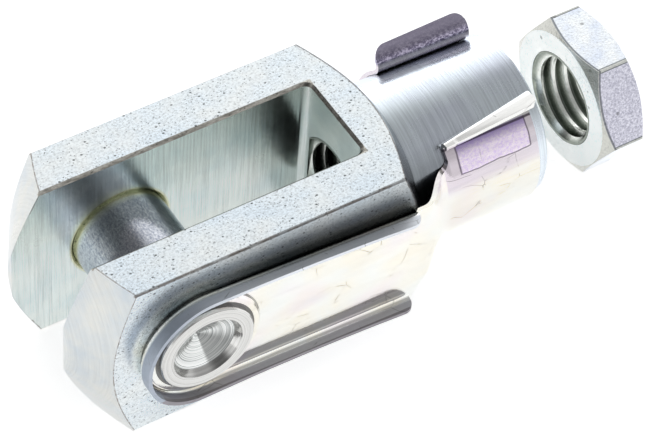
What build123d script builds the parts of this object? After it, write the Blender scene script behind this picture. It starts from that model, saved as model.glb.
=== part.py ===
"""Clevis rod end, 12 x 24 fork on an M12 rod thread, with a snap-on spring clip pin and a lock nut.

Millimetres. The origin is where the clevis pin's axis crosses the rod's axis. X runs along the
pin towards the clip, Y along the rod away from the fork, and Z is up, square to the flat bottom.
"""
from build123d import *
from math import acos, asin, atan2, cos, degrees, hypot, radians, sin, sqrt, tan
import os

# --- fork: one steel piece, milled from square bar and turned at both ends -------------------
bar = 24.0  # side of the square bar
slot_width = 12.0
slot_depth = 24.6  # pin axis to the bottom of the slot
slot_corner = 1.0  # radius in the slot's two rear corners
slot_break = 0.35  # chamfer along the slot's top and bottom edges
bar_break = 0.25  # chamfer along the bar's four long edges
front_reach = 14.0  # pin axis to the front face
front_face_radius = 7.0  # flat disc left in the middle of the front
front_cone = 30.0  # slope of the turned front, from a plane square to the rod
shoulder_start = 29.3  # pin axis to where the rear cone leaves the middle of a flat
shoulder_cone = 30.0
shank_radius = 10.0
shank_reach = 48.4  # pin axis to the end of the shank
shank_chamfer = 0.3

# --- rod thread, M12 x 1.75: the walls stand at the thread's major radius ----------------------
thread_radius = 6.0
thread_sink = 0.1  # depth and width of the 45 degree countersinks

# --- clevis pin, riveted to the clip -----------------------------------------------------------
pin_radius = 6.0
pin_clearance = 0.05  # radial, in the ears
bore_break = 0.3  # chamfer on the mouths of the ears' bores
pin_tail = 0.6  # how far the pin's free end stands out of the far ear
pin_chamfer = 1.0
pin_stand = 1.38  # how far its other end stands out of the clip's arm
pin_edge = 0.15  # chamfer on that end's outer edge
cup_mouth_radius = 4.44
cup_floor_radius = 3.95
cup_depth = 0.93  # of the tapered wall, down to the drilled cone
cone_depth = 1.8

# --- spring clip: one stamped and bent strip of spring steel ------------------------------------
sheet = 0.5
clip_gap = 0.05  # between the clip and the fork, on the flat and round the shank
bend_inner = 0.7  # inner radius where the arm's rim is turned up
rim_nose_height = 2.65  # from the arm's back to the rim's edge, at the nose
rim_waist_height = 2.1  # at its lowest
rim_end_height = 2.4  # and at the rim's two ends
rim_waist = 12.0  # pin axis to where the rim is lowest
rim_end_round = 1.5
nose_radius = 8.1
arm_end = 28.0  # pin axis to the end of the rims
arm_top_end = 6.3  # height of the arm's upper edge there
arm_bottom_end = -9.4
collar_radius = 7.3  # raised collar that grips the pin
collar_height = 0.65
collar_break = 0.3  # chamfer on its outer edge
neck_start = arm_end + 1.4  # pin axis to where the arm starts to bend inwards
neck_shoulder = arm_end + 0.2  # pin axis to where the lower edge starts to rise
neck_waist = 29.9  # and to where it is up
neck_top = 6.0  # height of the neck's trimmed edges
neck_bottom = -6.6
neck_round = 2.0  # at the lower edge's waist
neck_spare_angle = 14.0  # how much wider the neck is bent than it is trimmed
neck_steps = 6
hook_front = 35.0  # pin axis to the hook's front edge, on the arm's side
hook_front_far = 34.4  # and on the far side, because the hook's edges are a little aslant
hook_back = 46.8  # the same for its free edge
hook_back_far = 46.5
hook_fillet = 1.0  # between the neck's edges and the hook's front edge
wall_angle = 45.5  # how far the hook's plain wall rises past the middle on each side
wrap_front = 47.0  # how far the lips follow the shank before they curl, at the hook's front
wrap_back = 52.0  # and at its free edge
near_turn = 136.0  # how far the lip beside the neck is curled outwards
near_curl_front = 0.35  # middle radius of its curl at the front, and at the free edge
near_curl_back = 1.35
near_flange_front = 0.45  # flat stretch outside the curl
near_flange_back = 1.65
far_turn = 124.0
far_curl_front = 1.45
far_curl_back = 1.5
far_flange_front = 0.65
far_flange_back = 1.15
far_corner = 2.0  # rounds on the lips' free corners
lip_corner = 1.2

# --- lock nut, thin, standing on one of its flats behind the shank ------------------------------
nut_flats = 17.75
nut_thickness = 5.9
nut_gap = 9.4  # from the shank's end to the nut
nut_side = -0.72  # how far it stands to the side of the rod's axis
nut_chamfer = 30.0
nut_face_ratio = 0.975  # diameter of the round face over the flats


# --- shared helpers ------------------------------------------------------------------------------
margin = 1.0  # how far a cutter runs past what it cuts
tolerance = 0.1  # an edge or a corner this close to a place counts as there


def along_x(radius, low, high):
    """A cylinder about the X axis between two places."""
    return Plane.YZ.offset(low) * extrude(Circle(radius), high - low)


def turned(*outline):
    """Turn an outline of (radius, place) points about the Y axis."""
    face = make_face(Polyline(*outline, close=True))
    return revolve(face, Axis.Y)


def countersink(mouth, direction):
    """The cone cut at a thread's mouth, which lies at a place along Y and opens that way."""
    deep = mouth - direction * thread_sink
    wide = thread_radius + thread_sink
    return turned((0, deep), (thread_radius, deep), (wide, mouth), (0, mouth))


# --- fork ------------------------------------------------------------------------------------------
def fork():
    half = bar / 2
    corner = half * sqrt(2) + margin
    front_rise = tan(radians(front_cone))
    shoulder_rise = tan(radians(shoulder_cone))
    envelope = turned(
        (0, -front_reach),
        (front_face_radius, -front_reach),
        (corner, -front_reach + (corner - front_face_radius) * front_rise),
        (corner, shoulder_start - (corner - half) * shoulder_rise),
        (shank_radius, shoulder_start + (half - shank_radius) * shoulder_rise),
        (shank_radius, shank_reach - shank_chamfer),
        (shank_radius - shank_chamfer, shank_reach),
        (0, shank_reach),
    )
    length = front_reach + shank_reach
    stock = Pos(0, shank_reach - length / 2, 0) * Box(bar, length, bar)
    stock = chamfer(stock.edges().filter_by(Axis.Y), bar_break)
    solid = envelope & stock

    slot_length = slot_depth + front_reach + slot_corner
    slot_centre = slot_depth - slot_length / 2
    outline = Pos(0, slot_centre) * Rectangle(slot_width, slot_length)
    outline = fillet(outline.vertices().group_by(Axis.Y)[-1], slot_corner)
    solid -= extrude(outline, half, both=True)
    wide = offset(outline, slot_break, kind=Kind.ARC)
    for side in (1, -1):
        top = Plane.XY.offset(side * half) * wide
        low = Plane.XY.offset(side * (half - slot_break)) * outline
        solid -= loft([Sketch() + top.faces(), Sketch() + low.faces()])

    bore = pin_radius + pin_clearance
    solid -= along_x(bore, -half - margin, half + margin)
    for side in (1, -1):
        for mouth, outwards in ((half, 1), (slot_width / 2, -1)):
            wide_end = Plane.YZ.offset(side * mouth) * Circle(bore + bore_break)
            deep_end = Plane.YZ.offset(side * (mouth - outwards * bore_break)) * Circle(bore)
            solid -= loft([wide_end, deep_end])

    thread = Plane.XZ.offset(-shank_reach) * extrude(Circle(thread_radius), shank_reach - slot_depth)
    solid -= thread
    solid -= countersink(shank_reach, 1)
    solid -= countersink(slot_depth, -1)
    return solid


# --- clevis pin --------------------------------------------------------------------------------------
plate_back = bar / 2 + clip_gap
plate_front = plate_back + sheet


def clevis_pin():
    tail = -bar / 2 - pin_tail
    head = plate_front + pin_stand
    floor = head - cup_depth
    outline = Polyline(
        (tail, 0),
        (tail, pin_radius - pin_chamfer),
        (tail + pin_chamfer, pin_radius),
        (head, pin_radius),
        (head, cup_mouth_radius),
        (floor, cup_floor_radius),
        (floor - cone_depth, 0),
        close=True,
    )
    solid = revolve(make_face(outline), Axis.X)
    rims = solid.edges().filter_by(GeomType.CIRCLE)
    rims = rims.filter_by_position(Axis.X, head - tolerance, head + tolerance)
    return chamfer(rims.sort_by(SortBy.RADIUS)[-1], pin_edge)


# --- spring clip -------------------------------------------------------------------------------------
hook_inner = shank_radius + clip_gap
hook_outer = hook_inner + sheet
hook_middle = hook_inner + sheet / 2


def polar(radius, angle):
    """A point of the XZ plane, the angle counted from +X towards +Z."""
    return Vector(radius * cos(radians(angle)), radius * sin(radians(angle)))


def across(place):
    """The plane square to the rod at a place along Y, with its first axis +X and its second +Z."""
    return Plane(origin=(0, place, 0), x_dir=(1, 0, 0), z_dir=(0, -1, 0))


def tangent_point(radius, along, height):
    """Where a line from a point (along, height) touches the circle round the origin."""
    middle = degrees(atan2(height, along))
    spread = degrees(acos(radius / hypot(along, height)))
    return polar(radius, middle + spread if height > 0 else middle - spread)


def arm():
    """The flat arm, with its rim turned up along both edges and round the nose."""
    beyond = arm_end + bar
    corners = []
    for height in (arm_top_end, arm_bottom_end):
        touch = tangent_point(nose_radius, arm_end, height)
        slope = (height - touch.Y) / (arm_end - touch.X)
        corners.append((touch, Vector(beyond, height + slope * (beyond - arm_end))))
    (top_touch, top_far), (bottom_touch, bottom_far) = corners
    edges = [
        ThreePointArc(top_touch, (-nose_radius, 0), bottom_touch),
        Line(bottom_touch, bottom_far),
        Line(bottom_far, top_far),
        Line(top_far, top_touch),
    ]
    outline = make_face(edges)
    tray = Plane.YZ.offset(plate_back) * extrude(outline, rim_nose_height)
    back = tray.faces().sort_by(Axis.X)[0].edges().sort_by(Axis.Y)[:-1]
    tray = fillet(back, bend_inner + sheet)
    pocket = Plane.YZ.offset(plate_front) * extrude(offset(outline, -sheet), rim_nose_height)
    floor = pocket.faces().sort_by(Axis.X)[0].edges().sort_by(Axis.Y)[:-1]
    pocket = fillet(floor, bend_inner)
    tray -= pocket
    tray &= Pos(0, arm_end - bar, 0) * Box(2 * bar, 2 * bar, 2 * bar)
    nose_corner = Vector(plate_back + rim_nose_height, -nose_radius)
    waist = Vector(plate_back + rim_waist_height, rim_waist)
    end_corner = Vector(plate_back + rim_end_height, arm_end)
    clear = nose_corner.X + margin
    hollow = make_face(
        [
            ThreePointArc(nose_corner, waist, end_corner),
            Line(end_corner, Vector(clear, arm_end)),
            Line(Vector(clear, arm_end), Vector(clear, -nose_radius)),
            Line(Vector(clear, -nose_radius), nose_corner),
        ]
    )
    tray -= extrude(hollow, bar, both=True)
    tips = tray.edges().filter_by_position(Axis.Y, arm_end - tolerance, arm_end + tolerance)
    tips = tips.group_by(Axis.X)[-1]
    return fillet(tips, rim_end_round)


def neck_section(step):
    """The neck's cross-section at a step from the flat arm (0) to the round hook (1)."""
    length = hook_front - neck_start
    blend = step * step * (3 - 2 * step)
    slope = 6 * step * (1 - step) / length
    inner = []
    outer = []
    low = degrees(asin(neck_bottom / hook_middle)) - neck_spare_angle
    high = degrees(asin(neck_top / hook_middle)) + neck_spare_angle
    for part in (0, 0.5, 1):
        angle = low + part * (high - low)
        flat = Vector(plate_back, arm_bottom_end + part * (arm_top_end - arm_bottom_end))
        shift = polar(hook_inner, angle) - flat
        square = polar(1, blend * angle)
        point = flat + shift * blend
        climb = slope * shift.dot(square)
        inner.append(point)
        outer.append(point + square * sheet * sqrt(1 + climb * climb))
    if step == 0:
        edges = [Line(inner[0], inner[2]), Line(outer[2], outer[0])]
    else:
        edges = [ThreePointArc(*inner), ThreePointArc(*outer[::-1])]
    edges += [Line(inner[2], outer[2]), Line(outer[0], inner[0])]
    return across(neck_start + step * length) * make_face(edges)


def neck():
    """The bent strip between arm and hook, with its edges trimmed as seen along the pin."""
    width = arm_top_end - arm_bottom_end
    solid = Pos(plate_back, arm_end, arm_bottom_end) * Box(
        sheet, neck_start - arm_end, width, align=(Align.MIN, Align.MIN, Align.MIN)
    )
    solid += loft([neck_section(step / neck_steps) for step in range(neck_steps + 1)])
    outline = Polyline(
        (arm_end, arm_bottom_end),
        (neck_shoulder, arm_bottom_end),
        (neck_waist, neck_bottom),
        (hook_front, neck_bottom),
        (hook_front, arm_bottom_end),
        (hook_back, arm_bottom_end),
        (hook_back, hook_outer),
        (hook_front, hook_outer),
        (hook_front, neck_top),
        (arm_end, neck_top),
        close=True,
    )
    blank = make_face(outline)
    corners = blank.vertices().filter_by_position(Axis.X, hook_front - tolerance, hook_front + tolerance)
    blank = fillet(corners.sort_by(Axis.Y)[1:3], hook_fillet)
    waist = blank.vertices().filter_by_position(Axis.X, neck_waist - tolerance, neck_waist + tolerance)
    blank = fillet(waist, neck_round)
    return solid & extrude(Plane.YZ * blank, bar)


def sector(low, high, front, back):
    """Part of the hook's round wall, between two angles and two places along the rod."""
    middle = (low + high) / 2
    edges = [
        ThreePointArc(polar(hook_inner, low), polar(hook_inner, middle), polar(hook_inner, high)),
        Line(polar(hook_inner, high), polar(hook_outer, high)),
        ThreePointArc(polar(hook_outer, high), polar(hook_outer, middle), polar(hook_outer, low)),
        Line(polar(hook_outer, low), polar(hook_inner, low)),
    ]
    return across(front) * extrude(make_face(edges), -(back - front))


def lip_points(middle_radius, wrap, turn, curl, flange):
    """One side of a lip's cross-section: along the shank, round the curl and out to its end."""
    base = polar(middle_radius, wall_angle)
    along = polar(middle_radius, (wall_angle + wrap) / 2)
    leave = polar(middle_radius, wrap)
    centre = polar(hook_middle + curl, wrap)
    bend = curl + hook_middle - middle_radius
    half = centre + polar(bend, wrap + 180 - turn / 2)
    bent = centre + polar(bend, wrap + 180 - turn)
    return base, along, leave, half, bent, bent + polar(flange, wrap + 90 - turn)


def lip_section(place, shape):
    """The cross-section of a lip on the +X side: curled outwards, then flat."""
    inner = lip_points(hook_inner, *shape)
    outer = lip_points(hook_outer, *shape)
    edges = [
        ThreePointArc(*inner[:3]),
        ThreePointArc(*inner[2:5]),
        Line(*inner[4:]),
        Line(inner[5], outer[5]),
        Line(outer[5], outer[4]),
        ThreePointArc(*outer[4:1:-1]),
        ThreePointArc(*outer[2::-1]),
        Line(outer[0], inner[0]),
    ]
    return across(place) * make_face(edges)


def lip_corner_cut(place, side, shape, radius):
    """What rounds a lip's free corner: side is 1 at the hook's free edge and -1 at its front."""
    bent, tip = lip_points(hook_middle, *shape)[4:]
    along = (tip - bent).normalized()
    plane = Plane(
        origin=(tip.X, place, tip.Y), x_dir=(0, side, 0), z_dir=(side * along.Y, 0, -side * along.X)
    )
    square = Rectangle(2 * radius, 2 * radius)
    square -= Pos(-radius, -radius) * Circle(radius)
    return extrude(plane * square, 2 * sheet, both=True)


def lip(front_shape, back_shape, back):
    """A lip on the +X side, growing towards the hook's free edge, which is at a place along Y."""
    low = lip_section(hook_front_far, front_shape)
    high = lip_section(hook_back, back_shape)
    return loft([low, high], ruled=True) - lip_corner_cut(back, 1, back_shape, lip_corner)


def hook():
    """The open ring round the shank, with a lip curled out along both free sides."""
    solid = sector(-180 - wall_angle, wall_angle, hook_front_far, hook_back)
    near = lip(
        (wrap_front, near_turn, near_curl_front, near_flange_front),
        (wrap_back, near_turn, near_curl_back, near_flange_back),
        hook_back,
    )
    front_shape = (wrap_front, far_turn, far_curl_front, far_flange_front)
    back_shape = (wrap_back, far_turn, far_curl_back, far_flange_back)
    far = lip(front_shape, back_shape, hook_back_far)
    far -= lip_corner_cut(hook_front_far, -1, front_shape, far_corner)
    solid += near + mirror(far, Plane.YZ)
    outline = Polyline(
        (-hook_outer, hook_front_far),
        (hook_outer, hook_front),
        (hook_outer, hook_back),
        (-hook_outer, hook_back_far),
        close=True,
    )
    return solid & extrude(make_face(outline), bar, both=True)


def spring_clip():
    solid = arm()
    solid += neck()
    solid += hook()
    collar_top = plate_front + collar_height
    collar = along_x(collar_radius, plate_back, collar_top)
    collar = chamfer(collar.faces().sort_by(Axis.X)[-1].edges(), collar_break)
    solid += collar
    solid -= along_x(collar_radius - sheet, plate_back - margin, collar_top - sheet)
    return solid - along_x(pin_radius, plate_back - margin, collar_top + margin)


# --- lock nut ------------------------------------------------------------------------------------------
def lock_nut():
    front = shank_reach + nut_gap
    back = front + nut_thickness
    hexagon = RegularPolygon(nut_flats / 2, 6, major_radius=False)
    solid = Plane(origin=(0, back, 0), x_dir=(1, 0, 0), z_dir=(0, -1, 0)) * extrude(
        hexagon, nut_thickness
    )
    face_radius = nut_flats / 2 * nut_face_ratio
    reach = nut_flats
    rise = (reach - face_radius) * tan(radians(nut_chamfer))
    solid &= turned(
        (0, front),
        (face_radius, front),
        (reach, front + rise),
        (reach, back - rise),
        (face_radius, back),
        (0, back),
    )
    solid -= Plane(origin=(0, back, 0), x_dir=(1, 0, 0), z_dir=(0, -1, 0)) * extrude(
        Circle(thread_radius), nut_thickness
    )
    solid -= countersink(front, -1)
    solid -= countersink(back, 1)
    return Pos(nut_side, 0, nut_flats / 2 - bar / 2) * solid


if __name__ == "__main__":
    os.makedirs("parts", exist_ok=True)
    pieces = {
        "fork": fork(),
        "clevis_pin": clevis_pin(),
        "spring_clip": spring_clip(),
        "lock_nut": lock_nut(),
    }
    for name, piece in pieces.items():
        piece.label = name
        print(name, piece.is_valid, len(piece.solids()), round(piece.volume, 2), piece.bounding_box())
        export_step(piece, f"parts/{name}.step")
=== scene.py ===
# %% [markdown]
# # Clevis rod end with a spring clip pin
#
# A fork of milled square bar, a turned pin that is riveted in a clip of spring steel, and the thin
# nut that locks the fork on its rod. The solids come from the CAD model, in metres and in their
# final places. This script dresses them in plated steel, cuts the threads, and lights them.

# %% Load the fixed frame
import bpy
from math import cos, pi, radians, sin, tan
from mathutils import Matrix, Vector


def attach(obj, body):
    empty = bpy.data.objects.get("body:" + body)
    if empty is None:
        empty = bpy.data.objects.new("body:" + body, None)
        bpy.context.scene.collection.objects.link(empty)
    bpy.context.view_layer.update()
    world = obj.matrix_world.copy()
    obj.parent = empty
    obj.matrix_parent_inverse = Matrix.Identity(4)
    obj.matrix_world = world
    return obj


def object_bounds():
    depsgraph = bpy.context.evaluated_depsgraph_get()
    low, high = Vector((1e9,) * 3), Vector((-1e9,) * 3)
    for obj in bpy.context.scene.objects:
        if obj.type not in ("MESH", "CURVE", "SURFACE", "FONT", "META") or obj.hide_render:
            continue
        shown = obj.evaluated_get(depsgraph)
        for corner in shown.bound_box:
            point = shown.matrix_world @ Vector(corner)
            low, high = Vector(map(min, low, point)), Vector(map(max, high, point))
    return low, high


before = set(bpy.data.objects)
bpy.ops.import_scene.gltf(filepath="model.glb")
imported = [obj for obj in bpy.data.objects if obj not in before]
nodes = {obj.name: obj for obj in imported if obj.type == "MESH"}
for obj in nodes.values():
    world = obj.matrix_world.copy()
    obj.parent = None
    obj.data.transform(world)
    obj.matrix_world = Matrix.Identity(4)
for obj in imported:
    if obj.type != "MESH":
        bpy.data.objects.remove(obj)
cad_box = [list(corner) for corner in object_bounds()]
MM = 0.001
print("CAD box in millimetres:", [[round(value / MM, 2) for value in corner] for corner in cad_box])

# %% [markdown]
# ## The sizes that finishes follow
#
# Plating wears on edges and tools leave marks on faces, so a finish has to know where the faces
# are. x runs along the pin, y along the rod and z upwards, from where the two axes cross. The outer
# sizes are read from the frame, and the few inner ones are written here. Turned cones slope at 30
# degrees, so on a cone y plus or minus 0.577 of the distance from the rod's axis stays the same,
# and that one number says which cone it is.

# %% Sizes in millimetres
BAR = round(cad_box[1][2] / MM, 2)         # half the square bar
FRONT = round(cad_box[0][1] / MM, 2)       # the fork's nose
NUT_BACK = round(cad_box[1][1] / MM, 2)    # the nut's rear face
SLOT = 6.0                                 # half the slot
SLOT_END = 24.6
SHANK = 10.0                               # the shank's radius
SHANK_END = 48.4
PIN = 6.0                                  # the pin's radius
THREAD = 6.0                               # the bores' radius, half of M12
CONE_SLOPE = 0.577                         # the tangent of 30 degrees
SHOULDER_CONE = 36.05                      # y plus slope times radius
NOSE_CONE = -17.92                         # y minus slope times radius
NUT_SIDE = -0.72                           # how far the nut stands to the side
NUT_FLATS = 17.75
NUT_LIFT = NUT_FLATS / 2 - BAR             # it stands on the same floor as the bar
NUT_FRONT = NUT_BACK - 5.9
NUT_FACE = 8.65                            # radius of its round face
DEGREES = 180 / pi
print("bar", 2 * BAR, "slot", 2 * SLOT, "shank", 2 * SHANK, "nut from", round(NUT_FRONT, 2), "to", NUT_BACK)

# %% [markdown]
# ## The camera
#
# A small part is best seen through a long lens from about 40 cm, which keeps its edges nearly
# parallel. The camera turns about the upright by its azimuth, tips down by its elevation and leans
# by a small roll. Three rotations one after the other say this more plainly than one set of Euler
# angles, so they are multiplied here.

# %% Camera
azimuth = radians(54.98)
elevation = radians(49.01)
roll = radians(4.38)
aim = Vector((3.83, 21.34, 0)) * MM
camera_distance = 390.7 * MM
lens_length = 188.69
sensor_width = 36

bpy.ops.object.camera_add()
camera = bpy.context.object
turn = (
    Matrix.Rotation(azimuth, 4, "Z")
    @ Matrix.Rotation(pi / 2 - elevation, 4, "X")
    @ Matrix.Rotation(roll, 4, "Z")
)
camera.matrix_world = Matrix.Translation(aim) @ turn @ Matrix.Translation((0, 0, camera_distance))
camera.data.sensor_width = sensor_width
camera.data.lens = lens_length
camera.data.clip_start = 10 * MM
bpy.context.scene.camera = camera
print("camera at", [round(value / MM, 1) for value in camera.matrix_world.translation], "mm")

# %% [markdown]
# ## Colours in linear light
#
# Colours are written as the hex values that a plating chart gives, which are sRGB, while shaders
# work in linear light. One function turns one into the other.

# %% Colour helper
def linear(hex_colour):
    """The linear colour of an sRGB hex value such as D9E0E4."""
    values = [int(hex_colour[place:place + 2], 16) / 255 for place in (0, 2, 4)]
    return [v / 12.92 if v <= 0.04045 else ((v + 0.055) / 1.055) ** 2.4 for v in values] + [1]


print("blue zinc DBE6EE in linear light:", [round(value, 3) for value in linear("DBE6EE")])

# %% [markdown]
# ## One function for every node
#
# A material is a chain of nodes. This function adds one, sets what is set by hand and joins what
# is linked, so that each material reads from top to bottom. Two sets of fields come up often, and
# have names: a mix of colours, and a range that eases in and out.

# %% Node helper
def add(tree, kind, settings=None, **sockets):
    """Add a node. Settings are its fields, or one word, its operation. Sockets are its inputs, by
    name, or by i and number. A value that is a node or a socket is linked, any other is set."""
    new = tree.nodes.new("ShaderNode" + kind)
    if isinstance(settings, str):
        settings = {"operation": settings}
    for field, value in (settings or {}).items():
        setattr(new, field, value)
    for name, value in sockets.items():
        if name[0] == "i" and name[1:].isdigit():
            socket = new.inputs[int(name[1:])]
        else:
            name = name.replace("_", " ")
            socket = next(each for each in new.inputs if each.enabled and each.name == name)
        if isinstance(value, bpy.types.Node):
            value = next(each for each in value.outputs if each.enabled)
        if isinstance(value, bpy.types.NodeSocket):
            tree.links.new(value, socket)
        else:
            socket.default_value = value
    return new


COLOUR = {"data_type": "RGBA"}
SMOOTH = {"interpolation_type": "SMOOTHSTEP"}
print("settings with a name:", COLOUR, SMOOTH)

# %% [markdown]
# ## Starting a material, and wearing it
#
# Every metal here starts the same way, with an empty tree and the place of each point, turned from
# metres to millimetres, because plating and tool marks are measured in them. Its tints are laid
# one over the other like coats, each where its mask lets it show. When it is done, a CAD node wears
# it in all its slots.

# %% Material helpers
def start(name):
    """A new material: its node tree, and the place of a point in millimetres, whole and as x, y, z."""
    material = bpy.data.materials.new(name)
    material.use_nodes = True
    tree = material.node_tree
    tree.nodes.clear()
    where = add(tree, "TexCoord").outputs["Object"]
    where = add(tree, "VectorMath", "SCALE", i0=where, Scale=1 / MM)
    parts = add(tree, "SeparateXYZ", Vector=where)
    return material, tree, where, parts.outputs


def lay(tree, colour, coats):
    """Lay coats over a colour. Each is where it shows, how much of it shows there, and its tint."""
    for mask, strength, tint in coats:
        amount = add(tree, "Math", "MULTIPLY", i0=mask, i1=strength)
        colour = add(tree, "Mix", COLOUR, Factor=amount, A=colour, B=tint)
    print("laid", len(coats), "coats")
    return colour


def dress(name, material):
    """Give a CAD node its material."""
    for slot in nodes[name].material_slots:
        slot.material = material
    print(name, "wears", material.name, "of", len(material.node_tree.nodes), "nodes")


print("CAD nodes to dress:", sorted(nodes))

# %% [markdown]
# ## The fork: milled bar, turned shank, blue zinc
#
# The fork is free-cutting steel, electroplated with bright zinc and passivated, which gives a pale
# metal with a blue cast. Each face keeps the marks of how it was made. The bar's own faces were
# drawn through a die: they are matt, mottled and full of fine pits. The slot was milled, which
# leaves lines across it. The shank, the shoulder and the nose were turned, which leaves rings. The
# edges, where the zinc is thin, look brown and dark. One material tells the faces apart by where a
# point is, so that a pattern is always on the face that it belongs to.

# %% Fork: distances
material, tree, where, (x, y, z) = start("fork_zinc_plated_free_cutting_steel")
around = add(tree, "VectorMath", "MULTIPLY", i0=where, i1=(1, 0, 1))
radius = add(tree, "VectorMath", "LENGTH", i0=around).outputs["Value"]
side_reach = add(tree, "Math", "ABSOLUTE", i0=x)
top_reach = add(tree, "Math", "ABSOLUTE", i0=z)
behind = add(tree, "Math", "MULTIPLY_ADD", i0=radius, i1=CONE_SLOPE, i2=y)
ahead = add(tree, "Math", "MULTIPLY_ADD", i0=radius, i1=-CONE_SLOPE, i2=y)
print("fork cones: shoulder at", SHOULDER_CONE, "and nose at", NOSE_CONE)

# %% Fork: which face is which
turned = add(tree, "Math", "GREATER_THAN", i0=behind, i1=SHOULDER_CONE + 0.05)
nose_cone = add(tree, "Math", "LESS_THAN", i0=ahead, i1=NOSE_CONE - 0.02)
nose_disc = add(tree, "Math", "LESS_THAN", i0=y, i1=FRONT + 0.05)
nose = add(tree, "Math", "MAXIMUM", i0=nose_cone, i1=nose_disc)
in_slot = add(tree, "Math", "LESS_THAN", i0=side_reach, i1=SLOT + 0.1)
before_end = add(tree, "Math", "LESS_THAN", i0=y, i1=SLOT_END + 0.15)
milled = add(tree, "Math", "MULTIPLY", i0=in_slot, i1=before_end)
past_end_wall = add(tree, "Math", "SUBTRACT", i0=1.0, i1=before_end)
near_axis = add(tree, "Math", "LESS_THAN", i0=radius, i1=THREAD + 0.05)
bore = add(tree, "Math", "MULTIPLY", i0=near_axis, i1=past_end_wall)
drawn = 1.0
for other in (turned, nose, milled):
    elsewhere = add(tree, "Math", "SUBTRACT", i0=1.0, i1=other)
    drawn = add(tree, "Math", "MULTIPLY", i0=drawn, i1=elsewhere)
print("fork faces: turned rear, nose, milled slot, bore, drawn bar")

# %% [markdown]
# ### Tool marks and grain
#
# Milling and turning marks are lines a few hundredths of a millimetre apart. They are drawn about
# a fifth of a millimetre apart, because finer ones can't be seen at this distance. A noise whose
# place is divided by a size in millimetres has features of about that size, and a small size along
# one axis with large ones along the others gives lines. On the nose the lines are rings, so there
# the radius takes the place of y. The grain of the zinc, really about 0.02 mm, is drawn at 0.3.

# %% Fork: lines and grain
ring_place = add(tree, "Mix", Factor=nose, A=y, B=radius)
line_place = add(tree, "CombineXYZ", X=x, Y=ring_place, Z=z)
line_place = add(tree, "VectorMath", "DIVIDE", i0=line_place, i1=(9, 0.22, 9))
lines = add(tree, "TexNoise", Vector=line_place, Scale=1.0, Detail=3.0, Roughness=0.7)
drag_place = add(tree, "VectorMath", "DIVIDE", i0=where, i1=(0.5, 2.4, 0.5))
drag = add(tree, "TexNoise", Vector=drag_place, Scale=1.0, Detail=3.0, Roughness=0.65)
grain_place = add(tree, "VectorMath", "DIVIDE", i0=where, i1=(0.26, 0.34, 0.26))
grain = add(tree, "TexNoise", Vector=grain_place, Scale=1.0, Detail=2.0, Roughness=0.7)
cloud_place = add(tree, "VectorMath", "DIVIDE", i0=where, i1=(5, 7, 5))
cloud = add(tree, "TexNoise", Vector=cloud_place, Scale=1.0, Detail=4.0, Roughness=0.6)
print("fork marks: lines 0.22 mm, drag 0.5 mm, grain 0.3 mm, clouds 5 mm")

# %% [markdown]
# ### Pits
#
# The die and the pickling bath leave pits in the bar. Each cell of a Voronoi pattern has one
# centre, so the points near a centre make a pit, and the size of the cells sets how many there
# are. One layer of scattered larger pits and one of fine ones look more real than a single one.

# %% Fork: pits
spot_place = add(tree, "VectorMath", "DIVIDE", i0=where, i1=(1.0, 1.25, 1.0))
spots = add(tree, "TexVoronoi", Vector=spot_place, Scale=1.0).outputs["Distance"]
pits = add(tree, "MapRange", SMOOTH, Value=spots, From_Min=0.15, From_Max=0.09)
pits = add(tree, "Math", "MULTIPLY", i0=pits, i1=drawn)
fine_place = add(tree, "VectorMath", "DIVIDE", i0=where, i1=(0.4, 0.5, 0.4))
fine_spots = add(tree, "TexVoronoi", Vector=fine_place, Scale=1.0).outputs["Distance"]
fine_pits = add(tree, "MapRange", SMOOTH, Value=fine_spots, From_Min=0.24, From_Max=0.14)
fine_pits = add(tree, "Math", "MULTIPLY", i0=fine_pits, i1=drawn)
print("fork pits: one in each millimetre, and fine ones 0.4 mm apart")

# %% [markdown]
# ### Brown edges
#
# Zinc is thin and soon rubbed off on a sharp edge, so every edge of the bar has a thin line that is
# browner and darker than the faces. Each edge is where two simple distances meet, so its line is
# drawn where both are within a quarter of a millimetre. The edges of the cones lie just outside
# the cone, on the flat faces. The mouth of the slot has the widest line, with a torn look, because
# the cutter leaves a burr there. Round the pin the chamfer of the hole has kept an olive tint.

# %% Fork: worn edges
long_edge = add(tree, "Math", "MINIMUM", i0=side_reach, i1=top_reach)
long_edge = add(tree, "MapRange", SMOOTH, Value=long_edge, From_Min=BAR - 0.32, From_Max=BAR - 0.15)
nose_edge = add(tree, "Math", "COMPARE", i0=ahead, i1=NOSE_CONE, i2=0.07)
rear_edge = add(tree, "Math", "COMPARE", i0=behind, i1=SHOULDER_CONE, i2=0.06)
sharp = add(tree, "Math", "MAXIMUM", i0=long_edge, i1=nose_edge)
sharp = add(tree, "Math", "MAXIMUM", i0=sharp, i1=rear_edge)
outside = add(tree, "Math", "GREATER_THAN", i0=radius, i1=SHANK + 1.0)
sharp = add(tree, "Math", "MULTIPLY", i0=sharp, i1=outside)
worn = add(tree, "MapRange", SMOOTH, Value=drag, From_Min=0.35, From_Max=0.6, To_Min=0.25, To_Max=0.9)
sharp = add(tree, "Math", "MULTIPLY", i0=sharp, i1=worn)
print("fork edges: worn lines 0.15 to 0.3 mm wide")

# %% Fork: burr at the slot, ring round the pin
past_wall = add(tree, "Math", "SUBTRACT", i0=side_reach, i1=SLOT)
past_end = add(tree, "Math", "SUBTRACT", i0=y, i1=SLOT_END)
past_slot = add(tree, "Math", "MAXIMUM", i0=past_wall, i1=past_end)
mouth = add(tree, "MapRange", SMOOTH, Value=past_slot, From_Min=0.42, From_Max=0.30)
mouth_height = add(tree, "Math", "GREATER_THAN", i0=top_reach, i1=BAR - 0.38)
mouth = add(tree, "Math", "MULTIPLY", i0=mouth, i1=mouth_height)

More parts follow.
